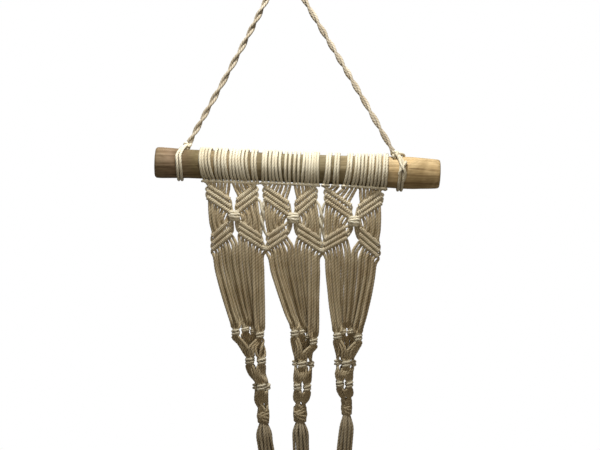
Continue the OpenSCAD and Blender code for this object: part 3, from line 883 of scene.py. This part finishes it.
def wood():
    mat = bpy.data.materials.new("weathered_wood")
    nt, b = nodes_of(mat)
    L = nt.links.new
    tc = node(nt, "ShaderNodeTexCoord")
    ends = node(nt, "ShaderNodeAttribute", attribute_name="end_grain")
    sep = node(nt, "ShaderNodeSeparateXYZ")
    L(tc.outputs["Object"], sep.inputs[0])
    # colour along the branch: pale and tan by turns
    pos = node(nt, "ShaderNodeMapRange")
    for k, v in ((1, -0.1935), (2, 0.234), (3, 0.0), (4, 1.0)):
        pos.inputs[k].default_value = v
    L(sep.outputs[0], pos.inputs[0])
    along = ramp(nt, pos.outputs[0], [(0.0, lin((132, 116, 92))), (0.06, lin((150, 130, 108))), (0.14, lin((120, 108, 77))), (0.24, lin((142, 127, 99))),
                                      (0.42, lin((120, 111, 84))), (0.56, lin((124, 116, 90))), (0.74, lin((150, 136, 106))), (0.86, lin((204, 182, 141))), (1.0, lin((198, 175, 133)))])
    stretch = node(nt, "ShaderNodeMapping")
    stretch.inputs["Scale"].default_value = (5, 95, 95)
    stretch.inputs["Rotation"].default_value = (0, -TILT, 0)
    L(tc.outputs["Object"], stretch.inputs[0])
    grain = node(nt, "ShaderNodeTexNoise", _Scale=1.6, _Detail=6.0, _Roughness=0.62, _Distortion=0.6)
    L(stretch.outputs[0], grain.inputs["Vector"])
    fine = node(nt, "ShaderNodeTexNoise", _Scale=6.0, _Detail=4.0, _Roughness=0.7)
    L(stretch.outputs[0], fine.inputs["Vector"])
    patch = node(nt, "ShaderNodeTexNoise", _Scale=17.0, _Detail=3.0, _Roughness=0.6, _Distortion=0.8)
    L(tc.outputs["Object"], patch.inputs["Vector"])
    gr = ramp(nt, grain.outputs["Fac"], [(0.30, (0.38, 0.32, 0.25, 1)), (0.45, (0.82, 0.78, 0.72, 1)), (0.62, (1.08, 1.06, 1.04, 1)), (0.78, (1.25, 1.22, 1.18, 1))])
    col = mix_rgb(nt, "MULTIPLY", 0.85, along, gr)
    fi = ramp(nt, fine.outputs["Fac"], [(0.32, (0.55, 0.5, 0.44, 1)), (0.5, (1, 1, 1, 1))])
    col = mix_rgb(nt, "MULTIPLY", 0.6, col, fi)
    pa = ramp(nt, patch.outputs["Fac"], [(0.36, (0.62, 0.58, 0.5, 1)), (0.52, (1, 1, 1, 1)), (0.7, (1.18, 1.1, 1.0, 1))])
    col = mix_rgb(nt, "MULTIPLY", 0.8, col, pa)
    # sawn ends show rings and a paler heart
    mp = node(nt, "ShaderNodeMapping")
    mp.inputs["Location"].default_value = (0, 0, 0.2945)
    L(tc.outputs["Object"], mp.inputs[0])
    rings = node(nt, "ShaderNodeTexWave", wave_type="RINGS", rings_direction="X", _Scale=60.0, _Distortion=2.2, _Detail=2.0)
    rings.inputs["Detail Scale"].default_value = 1.4
    L(mp.outputs[0], rings.inputs["Vector"])
    rc = ramp(nt, rings.outputs["Fac"], [(0.0, lin((120, 92, 60))), (0.5, lin((176, 146, 104))), (1.0, lin((200, 172, 128)))])
    col = mix_rgb(nt, "MIX", ends.outputs["Fac"], col, rc)
    L(col, b.inputs["Base Color"])
    rr = ramp(nt, grain.outputs["Fac"], [(0.3, (0.92, 0.92, 0.92, 1)), (0.7, (0.62, 0.62, 0.62, 1))])
    L(rr, b.inputs["Roughness"])
    b.inputs["Specular IOR Level"].default_value = 0.3
    add = nt.nodes.new("ShaderNodeMath")
    add.operation = "MULTIPLY_ADD"
    add.inputs[1].default_value = 0.5
    L(fine.outputs["Fac"], add.inputs[0])
    L(grain.outputs["Fac"], add.inputs[2])
    bump = node(nt, "ShaderNodeBump", _Strength=0.7, _Distance=0.0012)
    L(add.outputs[0], bump.inputs["Height"])
    L(bump.outputs[0], b.inputs["Normal"])
    return mat


WOOD = wood()

# ---------------------------------------------------------------- branch
def make_branch():
    ns, na = 260, 96
    wav = [(RNG.uniform(0.5, 3.5), RNG.integers(1, 6), RNG.uniform(0, 6.28), RNG.uniform(0, 6.28)) for _ in range(14)]
    cracks = [(RNG.uniform(0, BLEN), RNG.uniform(30, 95), RNG.uniform(0, 2 * math.pi), RNG.uniform(0.35, 0.9)) for _ in range(26)]
    knots = [(24, 2.6, 9, 1.2), (372, 1.9, 12, 1.3), (398, 4.4, 8, 1.0), (196, 2.9, 7, -0.7), (292, 4.0, 7, -0.6)]
    s = np.concatenate([[0.0, 0.5, 1.6, 3.0], np.linspace(5, BLEN - 6, ns), [BLEN - 4, BLEN - 2.2, BLEN - 0.8, BLEN]])
    a = np.arange(na) * 2 * math.pi / na
    S, A = np.meshgrid(s, a, indexing="ij")
    R = np.interp(S, [x for x, _ in R_AT], [y for _, y in R_AT])
    N = np.zeros_like(S)
    for f, k, p1, p2 in wav:
        N += np.sin(S / BLEN * 2 * math.pi * f + p1) * np.cos(A * k + p2)
    N /= 5.0
    R = R - 0.35 + 0.42 * np.clip(N, -1.3, 0.8)
    # lengthwise fibres and splits
    for c, ln, ca, dep in cracks:
        da = (A - ca - 0.02 * np.sin(S / 17) + math.pi) % (2 * math.pi) - math.pi
        R -= dep * np.exp(-(da * R / 0.9) ** 2) * np.exp(-((S - c) / ln * 2) ** 4)
    R += 0.10 * np.sin(A * 37 + np.sin(S / 23) * 2) * np.sin(S / 9 + A * 3)
    for ks, ka, w, hgt in knots:
        da = (A - ka + math.pi) % (2 * math.pi) - math.pi
        rad = np.sqrt(((S - ks) / w) ** 2 + (da * 23 / (w * 0.8)) ** 2)
        R += hgt * (np.exp(-rad ** 2) - 0.75 * np.exp(-(rad * 2.2) ** 2))
    # eased, slightly torn edges at the sawn ends
    for e, d in ((0.0, S), (1.0, BLEN - S)):
        R -= 2.0 * np.exp(-np.maximum(d, 0) / 1.1) + 0.25 * np.sin(A * 9 + e * 2) * np.exp(-d / 4.0)
    ax = v3(math.cos(TILT), 0, -math.sin(TILT))
    dn = v3(-math.sin(TILT), 0, -math.cos(TILT))
    fr = v3(0, -1, 0)
    org = v3(BX, 0, BZ)
    P = org + S[..., None] * ax + R[..., None] * (np.cos(A)[..., None] * dn + np.sin(A)[..., None] * fr)
    verts = [P.reshape(-1, 3)]
    n = len(s)
    quads, tris = [], []
    i = np.arange(n - 1)[:, None]
    j = np.arange(na)[None, :]
    quads.append(np.stack([i * na + j, (i + 1) * na + j, (i + 1) * na + (j + 1) % na, i * na + (j + 1) % na], -1).reshape(-1, 4))
    ends = [np.zeros(n * na)]
    base = n * na
    for side, ring in ((-1, 0), (1, n - 1)):
        prev = np.arange(na) + ring * na
        cen = org + (0 if side < 0 else BLEN) * ax
        outer = P[ring] - cen
        for t in (0.985, 0.9, 0.72, 0.5, 0.28, 0.1):
            rip = 0.12 * np.sin(a * 5 + t * 9) + 0.1 * np.sin(a * 2 + t * 31)
            ringv = cen + outer * t + ax * side * (-0.05 + rip[:, None] * (1 - t) * 0.5)
            verts.append(ringv)
            ends.append(np.ones(na))
            cur = base + np.arange(na)
            base += na
            q = np.stack([prev, prev[(np.arange(na) + 1) % na], cur[(np.arange(na) + 1) % na], cur], -1)
            quads.append(q if side < 0 else q[:, ::-1])
            prev = cur
        verts.append(cen[None, :])
        ends.append(np.ones(1))
        tr = np.stack([prev, prev[(np.arange(na) + 1) % na], np.full(na, base)], -1)
        tris.append(tr if side < 0 else tr[:, ::-1])
        base += 1
    V = np.concatenate(verts) * MM
    Q, T = np.concatenate(quads), np.concatenate(tris)
    me = bpy.data.meshes.new("branch_wood")
    me.from_pydata([], [], [])
    me.vertices.add(len(V))
    me.vertices.foreach_set("co", V.astype(np.float32).ravel())
    loops = np.concatenate([Q.ravel(), T.ravel()]).astype(np.int32)
    me.loops.add(len(loops))
    me.loops.foreach_set("vertex_index", loops)
    me.polygons.add(len(Q) + len(T))
    me.polygons.foreach_set("loop_start", np.concatenate([np.arange(len(Q)) * 4, len(Q) * 4 + np.arange(len(T)) * 3]).astype(np.int32))
    me.polygons.foreach_set("use_smooth", np.ones(len(Q) + len(T), bool))
    me.update(calc_edges=True)
    at = me.attributes.new("end_grain", "FLOAT", "POINT")
    at.data.foreach_set("value", np.concatenate(ends).astype(np.float32))
    me.validate()
    o = bpy.data.objects.new("branch_wood", me)
    bpy.context.scene.collection.objects.link(o)
    o.data.materials.append(WOOD)
    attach(o, "branch")
    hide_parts("branch")


make_branch()

# ---------------------------------------------------------------- pieces
NAMES = {"mount": ("larks_head_knots", "mounting_knots"), "upper": ("upper_strands", "upper_cords"),
         "uleaf": ("upper_leaf_hitches", "upper_leaves"), "button": ("button_knot", "centre_knot"),
         "side": ("side_strands", "side_cords"), "lleaf": ("lower_leaf_hitches", "lower_leaves"),
         "inner": ("inner_strands", "inner_cords"), "leg": ("leg_strands", "long_cords"),
         "netknot": ("net_square_knots", "cradle_knots"), "netcord": ("net_strands", "cradle_net"),
         "gather": ("bundle_knot", "gathering_knot")}
for p, name in enumerate(PANELS):
    for part, (piece, cad) in NAMES.items():
        o = B[name + "_" + part].make(f"{name}_{piece}")
        # painted shade: cords under the branch and below the leaves take the darkest copy of the cotton, the hitched
        # leaves the half-shaded copy, and the loops, net knots and button the lit cotton
        o.data.materials.append(COTTON_SHADED if part in ("leg", "netcord", "inner", "side", "upper", "gather") else
                                COTTON_HALF_SHADED if part in ("uleaf", "lleaf") else COTTON)
        if part == "leg":
            x = sum(LEG_X[p]) / 2 * MM
            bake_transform(o)
        else:
            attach(o, name + "_cradle" if part in ("netknot", "netcord", "gather") else "branch")
        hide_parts(f"{name}_{cad}")
for name in ("left", "right"):
    o = B[name + "_link"].make(f"{name}_linking_strands")
    o.data.materials.append(COTTON)
    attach(o, "branch")
    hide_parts(f"{name}_link_cord")
    o = B[name + "_tie"].make(f"{name}_rope_tie")
    o.data.materials.append(COTTON)
    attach(o, "branch")
    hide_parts(f"{name}_tie_knot")

# ---------------------------------------------------------------- hanging rope: two strands laid together
route, _, _ = spline(ROPE, [1] * len(ROPE), [0] * (len(ROPE) - 1), [1.6] * (len(ROPE) - 1))
T, U, W = frames(route)
s = np.concatenate([[0], np.cumsum(np.linalg.norm(np.diff(route, axis=0), axis=1))])
rope = Bundle()
for side in (0, 1):
    a = 2 * math.pi * (s + 5 * np.sin(s / 37)) / 54.0 + math.pi * side
    wob = 0.12 * np.sin(s / 11 + side * 2)
    P = route + (2.3 + wob)[:, None] * (np.cos(a)[:, None] * U + np.sin(a)[:, None] * W)
    T2, U2, W2 = frames(P)
    s2 = np.concatenate([[0], np.cumsum(np.linalg.norm(np.diff(P, axis=0), axis=1))])
    rope.tube(P, U2, W2, np.full(len(P), 2.4), s2, side * 1.0, 0.1 + 0.8 * side, pitch=-16.0)
o = rope.make("hanging_rope_strands")
o.data.materials.append(COTTON_ROPE)
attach(o, "hanger")
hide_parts("hanging_cord")

# ---------------------------------------------------------------- tassels
for p, name in enumerate(PANELS):
    g = GATHER[p]
    lean, ln, rend = TASSEL[p]
    top = v3(g[0], SHEET, g[1] - g[3] / 2 + 1.0)
    piv = v3(g[0], SHEET, g[1] - g[3] / 2 - 7.0)
    axis = v3(math.sin(math.radians(lean)), 0, -math.cos(math.radians(lean)))
    side = v3(math.cos(math.radians(lean)), 0, math.sin(math.radians(lean)))
    back = v3(0, 1, 0)
    for i in range(16):
        dd = disc(i, 1.0)
        st = Strand()
        st.to(top + v3(dd[0], dd[1], 0) * 3.7, 1.8, 0, 2.2)
        ph = RNG.uniform(0, 6.28)
        trim = RNG.uniform(-9, 0)
        wav = RNG.uniform(0.5, 1.6)
        for t in (0.06, 0.17, 0.32, 0.5, 0.68, 0.85, 1.0):
            s_ = (ln + trim) * t
            wide = (1.0, 1.0, 0.88)[p] * np.interp(s_, [0, 12, 30, 70, 110, 170], [8.0, 9.6, 9.8, 10.2, 10.8, rend - 2.2])
            q = piv + axis * s_ + (side * dd[0] + back * dd[1]) * wide
            q = q + side * wav * math.sin(ph + t * 7) + back * wav * 0.8 * math.cos(ph * 1.7 + t * 6)
            st.to(q, 2.45, 0, 2.2)
        P, r, _ = spline(st.p, st.r, st.l, st.s)
        T, U, W = frames(P)
        s = np.concatenate([[0], np.cumsum(np.linalg.norm(np.diff(P, axis=0), axis=1))])
        bn = Bundle()
        phase, rnd = RNG.uniform(0, 6.28), RNG.uniform(0, 1)
        cut = int(np.searchsorted(s, s[-1] - 12))
        bn.tube(P[:cut + 1], U[:cut + 1], W[:cut + 1], r[:cut + 1], s[:cut + 1], phase, rnd)
        # the plies come apart at the cut end
        for q in range(3):
            tail = P[cut - 1:]
            ss = s[cut - 1:] - s[cut - 1]
            ang = phase + 2 * math.pi * s[cut - 1:] / 15.0 + q * 2 * math.pi / 3
            off = 1.0 + 1.6 * (ss / ss[-1]) ** 1.6 * RNG.uniform(0.6, 1.1)
            Q = tail + off[:, None] * (np.cos(ang)[:, None] * U[cut - 1:] + np.sin(ang)[:, None] * W[cut - 1:])
            T3, U3, W3 = frames(Q)
            s3 = np.concatenate([[0], np.cumsum(np.linalg.norm(np.diff(Q, axis=0), axis=1))])
            # the loose plies are painted with faint shade on every other side
            bn.tube(Q, U3, W3, np.interp(ss / ss[-1], [0, 0.6, 1], [1.05, 1.0, 0.55]), s3, 0, rnd, pitch=9.0, prof=np.ones(8), groove=np.tile([0.1, 0.5], 4))
        o = bn.make(f"{name}_tassel_strand_{i + 1:02d}")
        o.data.materials.append(COTTON_TASSEL_SHADED)
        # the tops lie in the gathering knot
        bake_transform(o)
        if i == 0:
            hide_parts(name + "_tassel")

# ---------------------------------------------------------------- stage and light
bpy.ops.mesh.primitive_plane_add(size=4.0, location=(0.02, 0.0, -1.3))
floor = bpy.context.object
floor.name = "floor"
fm = bpy.data.materials.new("pale_floor")
nt, b = nodes_of(fm)
tc = node(nt, "ShaderNodeTexCoord")
nz = node(nt, "ShaderNodeTexNoise", _Scale=3.0, _Detail=2.0)
nt.links.new(tc.outputs["Object"], nz.inputs["Vector"])
fc = ramp(nt, nz.outputs["Fac"], [(0.3, (0.66, 0.66, 0.65, 1)), (0.7, (0.70, 0.70, 0.69, 1))])
nt.links.new(fc, b.inputs["Base Color"])
b.inputs["Roughness"].default_value = 0.9
floor.data.materials.append(fm)

world = bpy.data.worlds.new("studio")
bpy.context.scene.world = world
world.use_nodes = True
nt = world.node_tree
nt.nodes.clear()
out = nt.nodes.new("ShaderNodeOutputWorld")
mix = nt.nodes.new("ShaderNodeMixShader")
lp = nt.nodes.new("ShaderNodeLightPath")
amb = nt.nodes.new("ShaderNodeBackground")
amb.inputs[0].default_value = (1.0, 0.89, 0.72, 1)
amb.inputs[1].default_value = 0.12
seen = nt.nodes.new("ShaderNodeBackground")
seen.inputs[0].default_value = (1, 1, 1, 1)
seen.inputs[1].default_value = 1.0
nt.links.new(lp.outputs["Is Camera Ray"], mix.inputs[0])
nt.links.new(amb.outputs[0], mix.inputs[1])
nt.links.new(seen.outputs[0], mix.inputs[2])
nt.links.new(mix.outputs[0], out.inputs[0])


def area(name, loc, rot, size, power, colour=(1, 1, 1)):
    l = bpy.data.lights.new(name, "AREA")
    l.shape = "DISK"
    l.size = size
    l.energy = power
    l.color = colour
    o = bpy.data.objects.new(name, l)
    o.location = loc
    o.rotation_euler = rot
    bpy.context.scene.collection.objects.link(o)


def spot(name, aim, elev, turn, dist, e, size, soft, colour, wide=1.0, blend=0.35):
    """A spot that gives the irradiance e at aim. turn is from the front towards the right."""
    el, tn = math.radians(elev), math.radians(turn)
    d = np.array([math.cos(el) * math.sin(tn), -math.cos(el) * math.cos(tn), math.sin(el)])
    l = bpy.data.lights.new(name, "SPOT")
    l.energy = e * 4 * math.pi * dist * dist
    l.spot_size = math.radians(size)
    l.spot_blend = blend
    l.shadow_soft_size = soft
    l.color = colour
    o = bpy.data.objects.new(name, l)
    o.location = tuple(np.array(aim) + d * dist)
    z = Vector(d)
    o.rotation_euler = z.to_track_quat("Z", "Y").to_euler()
    o.scale = (wide, 1, 1)
    bpy.context.scene.collection.objects.link(o)


spot("key", (0.02, -0.01, -0.30), 69, -6, 0.85, 4.2, 62, 0.05, (1.0, 0.985, 0.94))
spot("branch_key", (0.02, -0.01, -0.222), 38, 4, 2.4, 1.9, 4.6, 0.08, (1.0, 0.97, 0.90), wide=3.6, blend=0.7)
spot("front_fill", (0.02, -0.01, -0.42), 4, 12, 2.6, 0.46, 26, 0.5, (1.0, 0.86, 0.66))
spot("back_fill", (0.02, 0.0, -0.42), 48, 168, 2.6, 0.9, 26, 0.4, (1.0, 0.95, 0.87))

bpy.context.scene.view_settings.view_transform = "Standard"
